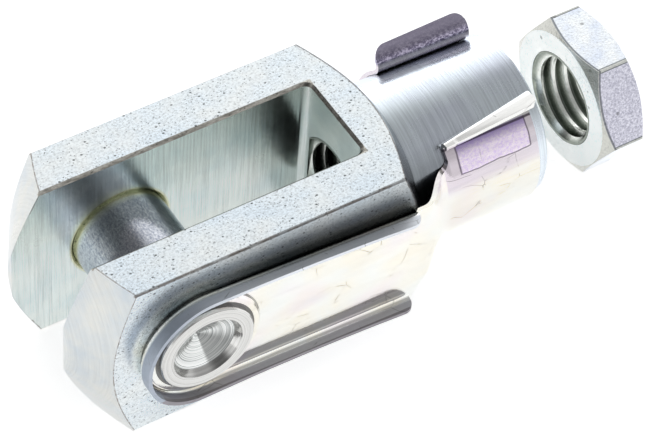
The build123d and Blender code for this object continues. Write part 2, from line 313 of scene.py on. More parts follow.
across = add(tree, "VectorMath", "MULTIPLY", i0=where, i1=(0, 1, 1))
hole_radius = add(tree, "VectorMath", "LENGTH", i0=across).outputs["Value"]
ring = add(tree, "MapRange", SMOOTH, Value=hole_radius, From_Min=PIN + 0.75, From_Max=PIN + 0.35)
at_wall = add(tree, "Math", "LESS_THAN", i0=side_reach, i1=SLOT + 0.5)
ring = add(tree, "Math", "MULTIPLY", i0=ring, i1=at_wall)
print("fork burr 0.35 mm wide, ring of the hole's chamfer out to 6.5 mm")

# %% [markdown]
# ### Painted shade above the clip
#
# The side of the bar is painted darker above the clip's rim, as painted shade. The shade is densest
# close above the rim, and thins out upwards and towards the nose. The rim's upper edge falls a little
# from front to back, so the shade is measured from that sloping line.

# %% Fork: painted shade above the rim
RIM_HEIGHT = 8.1    # the rim's upper edge over the pin
RIM_FALL = 0.064    # how much lower it lies for each millimetre behind the pin
rim_line = add(tree, "Math", "MULTIPLY_ADD", i0=y, i1=-RIM_FALL, i2=RIM_HEIGHT)
above_rim = add(tree, "Math", "SUBTRACT", i0=top_reach, i1=rim_line)
# painted shade: the bar's side is darkened close above the clip's rim
painted_shade = add(tree, "MapRange", SMOOTH, Value=above_rim, From_Min=8.5, From_Max=0.8)
shade_front = add(tree, "MapRange", SMOOTH, Value=y, From_Min=-9.0, From_Max=13.0)
clip_side = add(tree, "Math", "GREATER_THAN", i0=x, i1=BAR - 0.15)
for part in (shade_front, clip_side):
    painted_shade = add(tree, "Math", "MULTIPLY", i0=painted_shade, i1=part)
print("oil film: thins out from 0.8 to 8.5 mm above the clip's rim")

# %% [markdown]
# ### The colours of the fork
#
# The passivation turns out bluer on the bar, greener in the slot and warmer on the nose, and it is
# cloudy everywhere. Worn edges are brown, because steel shows through there.

# %% Fork: tints
grey = add(tree, "MapRange", Value=cloud, From_Min=0.35, From_Max=0.65)
colour = add(tree, "Mix", COLOUR, Factor=grey, A=linear("DBE6EE"), B=linear("E9EEEF"))
slot_colour = add(tree, "Mix", COLOUR, Factor=grey, A=linear("D6E2E2"), B=linear("EAF0EC"))
rear_colour = add(tree, "Mix", COLOUR, Factor=grey, A=linear("DDE4F0"), B=linear("E4EEF4"))
nose_colour = add(tree, "Mix", COLOUR, Factor=grey, A=linear("C6CED4"), B=linear("DADBD7"))
burr_colour = add(tree, "Mix", COLOUR, Factor=worn, A=linear("7E7972"), B=linear("D6D4CC"))
colour = lay(tree, colour, [
    (milled, 1.0, slot_colour),
    (turned, 1.0, rear_colour),
    (nose, 1.0, nose_colour),
    (ring, 1.0, linear("D2D2B6")),
    (sharp, 1.0, linear("8E857F")),
    (mouth, 1.0, burr_colour),
    # painted shade: the bore's wall, at the root of the thread, is laid dark
    (bore, 1.0, linear("5E6460")),
])

# %% [markdown]
# ### Light and dark on the fork
#
# Marks, pits and the painted shade above the rim take light away without changing the tint, so they
# are one factor that scales the colour. The shoulder's cone is painted darker than its neighbours, as
# painted shade, the shank is in the shade where the hook bends close to it, and the slot gets darker
# towards its end.

# %% Fork: marks in the shade
speckle = add(tree, "MapRange", Value=grain, From_Min=0.32, From_Max=0.58, To_Min=0.76, To_Max=1.05)
streak = add(tree, "MapRange", Value=lines, From_Min=0.3, From_Max=0.62, To_Min=0.78, To_Max=1.05)
soft_streak = add(tree, "MapRange", Value=lines, From_Min=0.3, From_Max=0.62, To_Min=0.91, To_Max=1.01)
streak = add(tree, "Mix", Factor=nose, A=streak, B=soft_streak)
shade = add(tree, "Mix", Factor=drawn, A=streak, B=speckle)
# painted shade: the shoulder's cone is darkened to half
cone_shade = add(tree, "Math", "COMPARE", i0=behind, i1=SHOULDER_CONE + 0.15, i2=0.12)
off_shank = add(tree, "Math", "GREATER_THAN", i0=radius, i1=SHANK + 0.05)
cone_shade = add(tree, "Math", "MULTIPLY", i0=cone_shade, i1=off_shank)
# the painted shade above the rim and on the shoulder's cone scale the colour with the pits
darkest = [(pits, 0.25), (fine_pits, 0.42), (painted_shade, 0.22), (cone_shade, 0.5)]
for amount, left in darkest:
    dark = add(tree, "MapRange", Value=amount, To_Min=1.0, To_Max=left)
    shade = add(tree, "Math", "MULTIPLY", i0=shade, i1=dark)
print("fork light left in pits, fine pits, oil and on the cone:", [left for _, left in darkest])

# %% Fork: shade near the hook and deep in the slot
near_hook = add(tree, "MapRange", SMOOTH, Value=x, From_Min=5.6, From_Max=8.2, To_Min=0.0, To_Max=0.62)
front_part = add(tree, "Math", "LESS_THAN", i0=y, i1=42.0)
for part in (turned, front_part):
    near_hook = add(tree, "Math", "MULTIPLY", i0=near_hook, i1=part)
dark = add(tree, "Math", "SUBTRACT", i0=1.0, i1=near_hook)
shade = add(tree, "Math", "MULTIPLY", i0=shade, i1=dark)
deep = add(tree, "MapRange", SMOOTH, Value=y, From_Min=13.0, From_Max=24.0, To_Min=1.0, To_Max=0.82)
deep = add(tree, "Mix", Factor=milled, A=1.0, B=deep)
shade = add(tree, "Math", "MULTIPLY", i0=shade, i1=deep)
colour = add(tree, "VectorMath", "SCALE", i0=colour, Scale=shade)
print("fork shade: down to 0.38 under the hook and 0.82 at the slot's end")

# %% [markdown]
# ### The surface of the fork
#
# Fresh zinc is a rough mirror: 0.2 to 0.3 in roughness, a bit less in the slot and on the nose,
# where the tool left the steel smoothest, and cloudy. The marks are hundredths of a millimetre
# deep, which is bump and not shape. A pit is deeper than the grain, so it is taken off the height.

# %% Fork: roughness, height and shader
rough = add(tree, "Mix", Factor=drawn, A=0.24, B=0.27)
rough = add(tree, "Mix", Factor=turned, A=rough, B=0.27)
cloudy = add(tree, "MapRange", Value=cloud, From_Min=0.3, From_Max=0.7, To_Min=-0.04, To_Max=0.04)
rough = add(tree, "Math", "ADD", i0=rough, i1=cloudy)
height = add(tree, "Mix", Factor=drawn, A=lines, B=grain)
height = add(tree, "Math", "MULTIPLY_ADD", i0=pits, i1=-1.2, i2=height)
bump = add(tree, "Bump", Height=height, Strength=1.0, Distance=0.010 * MM)
shader = add(tree, "BsdfPrincipled", Base_Color=colour, Metallic=1.0, Roughness=rough, Normal=bump)
add(tree, "OutputMaterial", Surface=shader)
dress("fork", material)

# %% [markdown]
# ## The pin: a turned part with a drilled end
#
# The pin is turned and plated like the fork, but smoother, and its shank has rubbed dark and shiny
# in the hole, with fine scratches. Its end is pressed over the clip into a bright ring round a
# turned cup. Turning leaves rings, really about 0.05 mm apart and drawn at 0.16 so that they show.
# On the shank they follow x, and on the end the distance from the axis.

# %% Pin: ends, cup and rings
CUP = 3.96    # the cup's radius
material, tree, where, (x, y, z) = start("pin_zinc_plated_turned_steel")
across = add(tree, "VectorMath", "MULTIPLY", i0=where, i1=(0, 1, 1))
radius = add(tree, "VectorMath", "LENGTH", i0=across).outputs["Value"]
end = add(tree, "Math", "GREATER_THAN", i0=add(tree, "Math", "ABSOLUTE", i0=x), i1=9.0)
cup = add(tree, "Math", "LESS_THAN", i0=radius, i1=CUP)
cup = add(tree, "Math", "MULTIPLY", i0=cup, i1=add(tree, "Math", "GREATER_THAN", i0=x, i1=0.0))
ring_place = add(tree, "Mix", Factor=end, A=x, B=radius)
line_place = add(tree, "CombineXYZ", X=ring_place, Y=y, Z=z)
line_place = add(tree, "VectorMath", "DIVIDE", i0=line_place, i1=(0.16, 30, 30))
rings = add(tree, "TexNoise", Vector=line_place, Scale=1.0, Detail=2.0, Roughness=0.7)
print("pin: rings 0.16 mm, cup", 2 * CUP, "mm across")

# %% [markdown]
# ### Where the pin has rubbed
#
# Dirt stays in the low spots of the shank while the high ones are polished, so a coarse noise and a
# fine one together choose between a dark and a light grey. Close to the far ear the pin is painted
# pale and greenish, as a painted reflection of that ear's wall.

# %% Pin: shank
grain_place = add(tree, "VectorMath", "DIVIDE", i0=where, i1=(0.22, 0.22, 0.22))
grain = add(tree, "TexNoise", Vector=grain_place, Scale=1.0, Detail=2.0, Roughness=0.75)
scrape_place = add(tree, "VectorMath", "DIVIDE", i0=where, i1=(0.5, 0.2, 0.2))
scrape = add(tree, "TexNoise", Vector=scrape_place, Scale=1.0, Detail=3.0, Roughness=0.6)
rubbed = add(tree, "Mix", Factor=0.5, A=scrape, B=grain)
rubbed = add(tree, "MapRange", Value=rubbed, From_Min=0.38, From_Max=0.62)
body = add(tree, "Mix", COLOUR, Factor=rubbed, A=linear("9AA1B0"), B=linear("DDE0E6"))
# painted reflection: the pin turns pale and greenish beside the far ear's wall
wall_reflection = add(tree, "MapRange", SMOOTH, Value=x, From_Min=-4.6, From_Max=-5.6)
body = add(tree, "Mix", COLOUR, Factor=wall_reflection, A=body, B=linear("D4D8CC"))
print("pin shank: scrapes 0.5 mm long, unrubbed beside the far wall")

# %% [markdown]
# ### A turned cup and its wedge of shade
#
# Rings of a turned cup throw light sideways, so the cup looks like a fan: bright wedges with a dark
# one between them, which all end in the middle. A highlight that is stretched along the rings does
# most of this. The rest is painted shade: the cup is darkened in the wedge below and behind the
# middle, so the colour is scaled by the angle round the axis.

# %% Pin: end
bright = add(tree, "MapRange", Value=rings, From_Min=0.3, From_Max=0.62)
tip = add(tree, "Mix", COLOUR, Factor=bright, A=linear("C0C0BE"), B=linear("E4E4E2"))
dish = add(tree, "Mix", COLOUR, Factor=bright, A=linear("7C8282"), B=linear("F4F6F5"))
# painted shade: the cup is darkened in a wedge below and behind the middle
sector = add(tree, "Math", "ARCTAN2", i0=z, i1=y)
sector = add(tree, "Math", "MULTIPLY", i0=sector, i1=DEGREES)
wedge_start = add(tree, "MapRange", SMOOTH, Value=sector, From_Min=-86.0, From_Max=-76.0)
wedge_end = add(tree, "MapRange", SMOOTH, Value=sector, From_Min=15.0, From_Max=-30.0)
wedge = add(tree, "Math", "MULTIPLY", i0=wedge_start, i1=wedge_end)
dull = add(tree, "MapRange", Value=wedge, To_Min=1.0, To_Max=0.42)
dish = add(tree, "VectorMath", "SCALE", i0=dish, Scale=dull)
tip = add(tree, "Mix", COLOUR, Factor=cup, A=tip, B=dish)
colour = add(tree, "Mix", COLOUR, Factor=end, A=body, B=tip)
print("pin end: bright ring, dull wedge from -80 to 0 degrees")

# %% [markdown]
# ### The surface of the pin
#
# Anisotropic light needs a direction to run along. A radial tangent goes round the pin's axis, x,
# on the shank and on the end alike, so it follows the tool's path everywhere.

# %% Pin: roughness, height and shader
height = add(tree, "Mix", Factor=end, A=grain, B=rings)
bump = add(tree, "Bump", Height=height, Strength=1.0, Distance=0.008 * MM)
rough = add(tree, "Mix", Factor=end, A=0.2, B=0.14)
around_axis = add(tree, "Tangent", {"direction_type": "RADIAL", "axis": "X"})
shader = add(
    tree, "BsdfPrincipled", Base_Color=colour, Metallic=1.0, Roughness=rough, Anisotropic=0.75,
    Normal=bump, Tangent=around_axis)
add(tree, "OutputMaterial", Surface=shader)
dress("clevis_pin", material)

# %% [markdown]
# ## The clip: rolled spring steel, bright zinc
#
# The clip is cold rolled strip, which is smooth before it is plated, so it comes out far brighter
# than the bar. The passivation is thickest on it, and tints it cream, pink and violet like oil on
# water. Long soft waves from bending run along it, with a few hairlines. The arm lies flat against
# the bar, its edges are turned up into a rim, and the hook goes round the shank.
#
# The side of the hook has a panel that the forming tool pressed. It is violet, with a crease round it
# that is painted dark, as painted shade in the crease. The panel is a box in the angle round the rod's
# axis and in y, with a slightly wavy outline, and the crease is where its mask is half way.

# %% Clip: the pressed panel
HOOK_START = 34.0
material, tree, where, (x, y, z) = start("clip_zinc_plated_spring_steel")
angle = add(tree, "Math", "ARCTAN2", i0=z, i1=x)
angle = add(tree, "Math", "MULTIPLY", i0=angle, i1=DEGREES)
wobble_place = add(tree, "VectorMath", "DIVIDE", i0=where, i1=(2.5, 2.5, 2.5))
wobble = add(tree, "TexNoise", Vector=wobble_place, Scale=1.0, Detail=2.0, Roughness=0.5)
wobble = add(tree, "Math", "SUBTRACT", i0=wobble, i1=0.5)
wavy_angle = add(tree, "Math", "MULTIPLY_ADD", i0=wobble, i1=2.5, i2=angle)
wavy_y = add(tree, "Math", "MULTIPLY_ADD", i0=wobble, i1=0.25, i2=y)
panel_edges = [
    # measured along, gone at, full at
    (wavy_angle, 26.3, 27.6),
    (angle, 52.0, 48.0),
    (wavy_y, 36.0, 36.5),
    (wavy_y, 46.0, 45.6),
]
pressed = 1.0
for measured, gone, full in panel_edges:
    edge = add(tree, "MapRange", SMOOTH, Value=measured, From_Min=gone, From_Max=full)
    pressed = add(tree, "Math", "MULTIPLY", i0=pressed, i1=edge)
# painted shade: a dark line where the panel's mask is half way
crease_shade = add(tree, "Math", "ABSOLUTE", i0=add(tree, "Math", "SUBTRACT", i0=pressed, i1=0.5))
crease_shade = add(tree, "MapRange", SMOOTH, Value=crease_shade, From_Min=0.5, From_Max=0.1)
print("clip panel: 27 to 50 degrees, y 36 to 46 mm")

# %% [markdown]
# ### Rims and lips
#
# The rim turned up round the arm, and the two lips of the hook, catch other light than the sheet
# and are plated a little greyer. The rim is all of the arm that stands out past the sheet, apart
# from the collar round the pin. The near lip is the part of the hook above 47 degrees, and the far
# lip is what stands off the shank on the other side.

# %% Clip: rims
ARM_END = 29.5
COLLAR = 7.36    # the collar's outer radius
RIM = 13.1       # where the sheet has turned up into the rim, along x
across = add(tree, "VectorMath", "MULTIPLY", i0=where, i1=(0, 1, 1))
pin_distance = add(tree, "VectorMath", "LENGTH", i0=across).outputs["Value"]
rim = add(tree, "MapRange", SMOOTH, Value=x, From_Min=RIM - 0.2, From_Max=RIM + 0.2)
off_collar = add(tree, "Math", "GREATER_THAN", i0=pin_distance, i1=COLLAR + 0.09)
on_arm = add(tree, "Math", "LESS_THAN", i0=y, i1=ARM_END)
for part in (off_collar, on_arm):
    rim = add(tree, "Math", "MULTIPLY", i0=rim, i1=part)
# painted shade: the rim below the pin, and most of all its outer edge, are laid darker
shaded_low_rim = add(tree, "Math", "MULTIPLY", i0=rim, i1=add(tree, "Math", "LESS_THAN", i0=z, i1=-5.0))
rim_top = add(tree, "Math", "GREATER_THAN", i0=x, i1=14.0)
shaded_low_edge = add(tree, "Math", "MULTIPLY", i0=shaded_low_rim, i1=rim_top)
print("clip rim: past x", RIM, "mm, arm up to y", ARM_END)

# %% Clip: lips
around = add(tree, "VectorMath", "MULTIPLY", i0=where, i1=(1, 0, 1))
radius = add(tree, "VectorMath", "LENGTH", i0=around).outputs["Value"]
on_hook = add(tree, "Math", "GREATER_THAN", i0=y, i1=HOOK_START)
far_lip = add(tree, "MapRange", SMOOTH, Value=radius, From_Min=11.0, From_Max=11.5)
far_side = add(tree, "Math", "LESS_THAN", i0=x, i1=2.0)
raised = add(tree, "Math", "GREATER_THAN", i0=z, i1=6.0)
for part in (far_side, raised):
    far_lip = add(tree, "Math", "MULTIPLY", i0=far_lip, i1=part)
near_lip = add(tree, "MapRange", SMOOTH, Value=angle, From_Min=46.5, From_Max=48.0)
near_side = add(tree, "Math", "GREATER_THAN", i0=x, i1=2.0)
for part in (near_side, on_hook):
    near_lip = add(tree, "Math", "MULTIPLY", i0=near_lip, i1=part)
print("clip lips: near one past 47 degrees, far one past radius 11 mm")

# %% [markdown]
# ### Waves, forming lines and hairlines
#
# Bending leaves waves some millimetres long, and forming lines along the sheet, really about 0.1 mm
# wide and drawn at 0.5. The plating has cracked into hairlines where it was stretched. The borders
# of Voronoi cells make such a net of cracks, bent by a slow noise so that none is straight, and
# only patches of it show. Zinc grain of 0.02 mm is drawn at 0.3.

# %% Clip: pattern
wave_place = add(tree, "VectorMath", "DIVIDE", i0=where, i1=(3, 7, 3))
wave = add(tree, "TexNoise", Vector=wave_place, Scale=1.0, Detail=2.0, Roughness=0.5)
form_place = add(tree, "VectorMath", "DIVIDE", i0=where, i1=(0.5, 9, 0.5))
form = add(tree, "TexNoise", Vector=form_place, Scale=1.0, Detail=3.0, Roughness=0.6)
cloud_place = add(tree, "VectorMath", "DIVIDE", i0=where, i1=(4, 6, 4))
cloud = add(
    tree, "TexNoise", Vector=cloud_place, Scale=1.0, Detail=4.0, Roughness=0.6, Distortion=0.6)
hue_place = add(tree, "VectorMath", "DIVIDE", i0=where, i1=(6, 9, 6))
hue = add(tree, "TexNoise", Vector=hue_place, Scale=1.0, Detail=1.0, Roughness=0.5)
grain_place = add(tree, "VectorMath", "DIVIDE", i0=where, i1=(0.3, 0.4, 0.3))
grain = add(tree, "TexNoise", Vector=grain_place, Scale=1.0, Detail=2.0, Roughness=0.75)
print("clip pattern: waves 3 mm, forming lines 0.5 mm, clouds 4 mm, grain 0.3 mm")

# %% Clip: hairlines
bent = add(tree, "VectorMath", "MULTIPLY_ADD", i0=hue.outputs["Color"], i1=(3, 3, 3), i2=where)
crack_place = add(tree, "VectorMath", "DIVIDE", i0=bent, i1=(3.6, 5.5, 3.6))
cracks = add(tree, "TexVoronoi", {"feature": "DISTANCE_TO_EDGE"}, Vector=crack_place, Scale=1.0)
cracks = cracks.outputs["Distance"]
hairline = add(tree, "MapRange", SMOOTH, Value=cracks, From_Min=0.014, From_Max=0.003)
patchy = add(tree, "MapRange", SMOOTH, Value=cloud, From_Min=0.53, From_Max=0.61)
hairline = add(tree, "Math", "MULTIPLY", i0=hairline, i1=patchy)
print("clip hairlines: 0.1 mm wide in a net of about 4 mm")

# %% [markdown]
# ### The tints of the clip
#
# The sheet goes from white to cream, with pink patches and a flush of violet towards the pressed
# panel. The panel is bright at its lower side, and deep violet and painted darker at its upper one,
# as painted shade under the lip. The rim is grey blue at the front, paler behind, and painted darker
# and warmer underneath, as painted shade on the lower rim. The hook is a little darker than the arm.

# %% Clip: tints of the sheet
warm = add(tree, "MapRange", Value=cloud, From_Min=0.38, From_Max=0.62)
colour = add(tree, "Mix", COLOUR, Factor=warm, A=linear("F2F4F1"), B=linear("F6F2E6"))
pinkish = add(tree, "MapRange", SMOOTH, Value=hue, From_Min=0.5, From_Max=0.7, To_Max=0.4)
near_panel = add(tree, "MapRange", SMOOTH, Value=angle, From_Min=12.0, From_Max=22.0, To_Max=0.75)
near_panel = add(tree, "Math", "MULTIPLY", i0=near_panel, i1=on_hook)
speckled = add(tree, "MapRange", Value=grain, From_Min=0.35, From_Max=0.6)
violet = add(tree, "Mix", COLOUR, Factor=speckled, A=linear("EBD8FF"), B=linear("FFF4FF"))
# painted shade: the panel's upper side, under the lip, turns deep violet and darker
under_lip_shade = add(tree, "MapRange", SMOOTH, Value=angle, From_Min=38.0, From_Max=46.5, To_Max=0.85)
violet = add(tree, "Mix", COLOUR, Factor=under_lip_shade, A=violet, B=linear("937FBC"))
rounding = add(tree, "MapRange", SMOOTH, Value=y, From_Min=-6.0, From_Max=7.0)
rim_tint = add(tree, "Mix", COLOUR, Factor=rounding, A=linear("BAC2CE"), B=linear("EEF2F8"))
print("clip sheet: cream", [round(value, 2) for value in linear("F6F2E6")[:3]], "in linear light")

# %% [markdown]
# ### Dark lines on the clip
#
# Where sheet is folded or one piece meets another, a thin dark line is painted as shade: along the
# fold between hook and lip, in the crevice round the pin, and as a faint outline at the collar's foot.
# The far lip is speckled, and painted dark as shade where it leaves the hook, and paler towards its
# edge.

# %% Clip: dark lines and the far lip
# painted shade: dark lines along the fold, in the crevice round the pin and at the collar's foot
fold_shade = add(tree, "Math", "COMPARE", i0=angle, i1=46.2, i2=0.8)
under_lip = add(tree, "Math", "LESS_THAN", i0=radius, i1=11.1)
for part in (on_hook, under_lip):
    fold_shade = add(tree, "Math", "MULTIPLY", i0=fold_shade, i1=part)
crevice_shade = add(tree, "Math", "COMPARE", i0=pin_distance, i1=PIN + 0.1, i2=0.28)
outer_side = add(tree, "Math", "GREATER_THAN", i0=x, i1=11.9)
crevice_shade = add(tree, "Math", "MULTIPLY", i0=crevice_shade, i1=outer_side)
outline_shade = add(tree, "Math", "COMPARE", i0=pin_distance, i1=COLLAR, i2=0.10)
collar_foot = add(tree, "Math", "LESS_THAN", i0=x, i1=13.0)
outline_shade = add(tree, "Math", "MULTIPLY", i0=outline_shade, i1=collar_foot)
# painted shade: the far lip is darker where it leaves the hook, paler towards its edge
lip_rise = add(tree, "MapRange", SMOOTH, Value=radius, From_Min=11.3, From_Max=13.1)
lip_speckle = add(tree, "MapRange", Value=grain, From_Min=0.42, From_Max=0.62)
lip_shade = add(tree, "Mix", COLOUR, Factor=lip_speckle, A=linear("56506E"), B=linear("CFC8E0"))
lip_pale = add(tree, "Mix", COLOUR, Factor=grain, A=linear("A79FBC"), B=linear("D2CCE0"))
lip_tint = add(tree, "Mix", COLOUR, Factor=lip_rise, A=lip_shade, B=lip_pale)
print("clip lines: fold at 46 degrees, crevice at 6.1 mm, outline at", COLLAR, "mm from the pin's axis")

# %% Clip: lay the tints
colour = lay(tree, colour, [
    (pinkish, 1.0, linear("F0E4EE")),
    (near_panel, 1.0, linear("D9CFDC")),
    (pressed, 1.0, violet),
    # painted shade in the panel's crease
    (crease_shade, 0.75, linear("4C4152")),
    (rim, 1.0, rim_tint),
    # painted shade on the lower rim and its outer edge
    (shaded_low_rim, 0.6, linear("B9B5BC")),
    (shaded_low_edge, 1.0, linear("A3A0A6")),
    # painted shade in the fold, the crevice and at the collar's foot
    (fold_shade, 0.8, linear("4C4152")),
    (crevice_shade, 0.85, linear("35363B")),
    (outline_shade, 0.6, linear("6F6F6C")),
    (far_lip, 1.0, lip_tint),
    (near_lip, 1.0, linear("FAFAF8")),
])
shade = add(tree, "MapRange", Value=form, From_Min=0.3, From_Max=0.6, To_Min=0.93, To_Max=1.02)
toward_hook = add(tree, "MapRange", SMOOTH, Value=y, From_Min=28.0, From_Max=36.0, To_Min=1.0, To_Max=0.89)
dark = add(tree, "MapRange", Value=hairline, To_Min=1.0, To_Max=0.62)
for part in (toward_hook, dark):
    shade = add(tree, "Math", "MULTIPLY", i0=shade, i1=part)
colour = add(tree, "VectorMath", "SCALE", i0=colour, Scale=shade)
print("clip colours: cream zinc, light left in a hairline 0.62")

# %% [markdown]
# ### The surface of the clip
#
# The waves are bump, with the forming lines and the panel's step added. The panel is pressed in by
# some hundredths of a millimetre. The tool left it and the far lip matt, and the rim, bent most of
# all, is the roughest.

# %% Clip: roughness, height and shader
matt_place = add(tree, "Math", "MAXIMUM", i0=pressed, i1=far_lip)
matt_grain = add(tree, "Math", "MULTIPLY", i0=matt_place, i1=grain)
height = wave
for mark, rise in ((form, 0.16), (hairline, -0.25), (pressed, -1.6), (matt_grain, 0.25)):
    height = add(tree, "Math", "MULTIPLY_ADD", i0=mark, i1=rise, i2=height)
bump = add(tree, "Bump", Height=height, Strength=1.0, Distance=0.025 * MM)
rough = add(tree, "Mix", Factor=matt_place, A=0.13, B=0.24)
rough = add(tree, "Mix", Factor=rim, A=rough, B=0.55)
shader = add(tree, "BsdfPrincipled", Base_Color=colour, Metallic=1.0, Roughness=rough, Normal=bump)
add(tree, "OutputMaterial", Surface=shader)
dress("spring_clip", material)

# %% [markdown]
# ## The nut: cold formed, dipped in the same zinc
#
# A thin nut is pressed from wire and tapped, and tumbles in the plating barrel with hundreds of
# others. Its flats are crystalline and dented, and differ in tint: the top one is a pale blue, the
# next one lilac. The face is turned smooth and nearly white. Its zones are told apart by the angle
# and the distance from the nut's own axis, which is not the fork's.

# %% Nut: its own axis
material, tree, where, (_, y, _) = start("nut_zinc_plated_steel")
from_axis = add(tree, "VectorMath", "SUBTRACT", i0=where, i1=(NUT_SIDE, 0, NUT_LIFT))
from_axis = add(tree, "VectorMath", "MULTIPLY", i0=from_axis, i1=(1, 0, 1))
radius = add(tree, "VectorMath", "LENGTH", i0=from_axis).outputs["Value"]
nut_x, _, nut_z = add(tree, "SeparateXYZ", Vector=from_axis).outputs
angle = add(tree, "Math", "ARCTAN2", i0=nut_z, i1=nut_x)
angle = add(tree, "Math", "MULTIPLY", i0=angle, i1=DEGREES)
print("nut axis at x", NUT_SIDE, "and z", NUT_LIFT, "mm")

# %% Nut: face, chamfer and flats
right_flat = add(tree, "Math", "COMPARE", i0=angle, i1=30.0, i2=30.0)
cone = add(tree, "Math", "MULTIPLY_ADD", i0=radius, i1=-CONE_SLOPE, i2=y)
cone = add(tree, "Math", "SUBTRACT", i0=cone, i1=NUT_FRONT - CONE_SLOPE * NUT_FACE)
corner = add(tree, "Math", "LESS_THAN", i0=cone, i1=0.06)
face = add(tree, "Math", "LESS_THAN", i0=y, i1=NUT_FRONT + 0.05)
outside = add(tree, "Math", "GREATER_THAN", i0=radius, i1=NUT_FACE + 0.1)
bore = add(tree, "Math", "LESS_THAN", i0=radius, i1=THREAD + 0.03)
print("nut face ends at radius", NUT_FACE, "mm")

# %% [markdown]
# ### Rubbed lines on the nut
#
# Dark lines stay where the chamfer cuts the flats, and beside the six long edges, where the barrel
# has rubbed the corner itself pale. The angle, folded every 30 degrees, gives the distance to the
# nearest long edge, so one line serves for all six.

# %% Nut: rubbed lines
FLAT_HALF = NUT_FLATS / 2 * tan(pi / 6)    # half a flat's width
hex_turn = add(tree, "Math", "PINGPONG", i0=angle, i1=30.0)
off_middle = add(tree, "Math", "SUBTRACT", i0=30.0, i1=hex_turn)
off_middle = add(tree, "Math", "MULTIPLY", i0=off_middle, i1=1 / DEGREES)
along_flat = add(tree, "Math", "SINE", i0=off_middle)
along_flat = add(tree, "Math", "MULTIPLY", i0=along_flat, i1=radius)
to_edge = add(tree, "Math", "SUBTRACT", i0=FLAT_HALF, i1=along_flat)
hex_edge = add(tree, "Math", "COMPARE", i0=to_edge, i1=0.28, i2=0.07)
past_cone = add(tree, "Math", "GREATER_THAN", i0=cone, i1=0.06)
hex_edge = add(tree, "Math", "MULTIPLY", i0=hex_edge, i1=past_cone)
hex_worn = add(tree, "Math", "LESS_THAN", i0=to_edge, i1=0.26)
hex_worn = add(tree, "Math", "MULTIPLY", i0=hex_worn, i1=outside)
rub_line = add(tree, "Math", "COMPARE", i0=cone, i1=0.20, i2=0.13)
rub_line = add(tree, "Math", "MAXIMUM", i0=rub_line, i1=hex_edge)
rub_line = add(tree, "Math", "MULTIPLY", i0=rub_line, i1=outside)
print("nut lines: 0.14 mm at the long edges, 0.26 mm at the chamfer")

# %% [markdown]
# ### Crystals and dents
#
# Thick zinc grows in crystals of some hundredths of a millimetre, drawn here at 0.4, and the barrel
# leaves a dent every few millimetres.

# %% Nut: crystals and dents
grain_place = add(tree, "VectorMath", "DIVIDE", i0=where, i1=(0.3, 0.3, 0.3))
grain = add(tree, "TexNoise", Vector=grain_place, Scale=1.0, Detail=2.0, Roughness=0.7)
cloud_place = add(tree, "VectorMath", "DIVIDE", i0=where, i1=(3, 3, 3))
cloud = add(tree, "TexNoise", Vector=cloud_place, Scale=1.0, Detail=3.0, Roughness=0.6)
chip_place = add(tree, "VectorMath", "DIVIDE", i0=where, i1=(0.4, 0.4, 0.4))
chips = add(tree, "TexVoronoi", {"feature": "DISTANCE_TO_EDGE"}, Vector=chip_place, Scale=1.0)
chips = chips.outputs["Distance"]
crystal = add(tree, "MapRange", SMOOTH, Value=chips, From_Min=0.0, From_Max=0.35)
spot_place = add(tree, "VectorMath", "DIVIDE", i0=where, i1=(2.2, 2.2, 2.2))
spots = add(tree, "TexVoronoi", Vector=spot_place, Scale=1.0).outputs["Distance"]
dents = add(tree, "MapRange", SMOOTH, Value=spots, From_Min=0.16, From_Max=0.06)
print("nut pattern: crystals 0.4 mm, dents 2.2 mm apart")

# %% Nut: tints
tone = add(tree, "MapRange", Value=cloud, From_Min=0.35, From_Max=0.65)
speckled = add(tree, "MapRange", Value=grain, From_Min=0.3, From_Max=0.7)
facet = add(tree, "Math", "MULTIPLY_ADD", i0=crystal, i1=0.3, i2=speckled)
lilac = add(tree, "Mix", COLOUR, Factor=facet, A=linear("B4B4C6"), B=linear("E2E2EE"))
face_tint = add(tree, "Mix", COLOUR, Factor=tone, A=linear("DAE1E1"), B=linear("E6E9E8"))
colour = add(tree, "Mix", COLOUR, Factor=tone, A=linear("DDE5F2"), B=linear("F0F4F6"))
colour = lay(tree, colour, [
    (right_flat, 1.0, lilac),
    (hex_worn, 1.0, linear("C6C8C4")),
    (corner, 1.0, linear("C9CAC4")),
    (face, 1.0, face_tint),
    (rub_line, 0.8, linear("5F6468")),
    # painted shade: the bore's wall, at the root of the thread, is laid dark
    (bore, 1.0, linear("6A706A")),
])
shade = add(tree, "MapRange", Value=grain, From_Min=0.3, From_Max=0.55, To_Min=0.84, To_Max=1.02)
dark = add(tree, "MapRange", Value=dents, To_Min=1.0, To_Max=0.5)
shade = add(tree, "Math", "MULTIPLY", i0=shade, i1=dark)
colour = add(tree, "VectorMath", "SCALE", i0=colour, Scale=shade)
print("nut colours: blue white zinc, light left in a dent 0.5")

# %% Nut: height and shader
height = add(tree, "Math", "MULTIPLY_ADD", i0=crystal, i1=0.5, i2=grain)
height = add(tree, "Math", "MULTIPLY_ADD", i0=dents, i1=-1.5, i2=height)
bump = add(tree, "Bump", Height=height, Strength=1.0, Distance=0.012 * MM)
shader = add(tree, "BsdfPrincipled", Base_Color=colour, Metallic=1.0, Roughness=0.26, Normal=bump)
add(tree, "OutputMaterial", Surface=shader)
dress("lock_nut", material)

# %% [markdown]
# ## The threads: M12 with a pitch of 1.75 mm
#
# The CAD bores are smooth, at the outer size of the thread. What is missing is the ridge that winds
# round inside. A thread is one profile that turns and moves along at once, which is just what the
# Screw modifier does. So a flat piece is shaped into the profile, wide at the wall and narrow at
# the crest, and wound up longer than the bore. It is then cut flush with both faces, and a cone at
# each mouth takes the start of the ridge away, as the tap's countersink does. The ridge starts a
# little inside the wall, so that no gap shows between them.

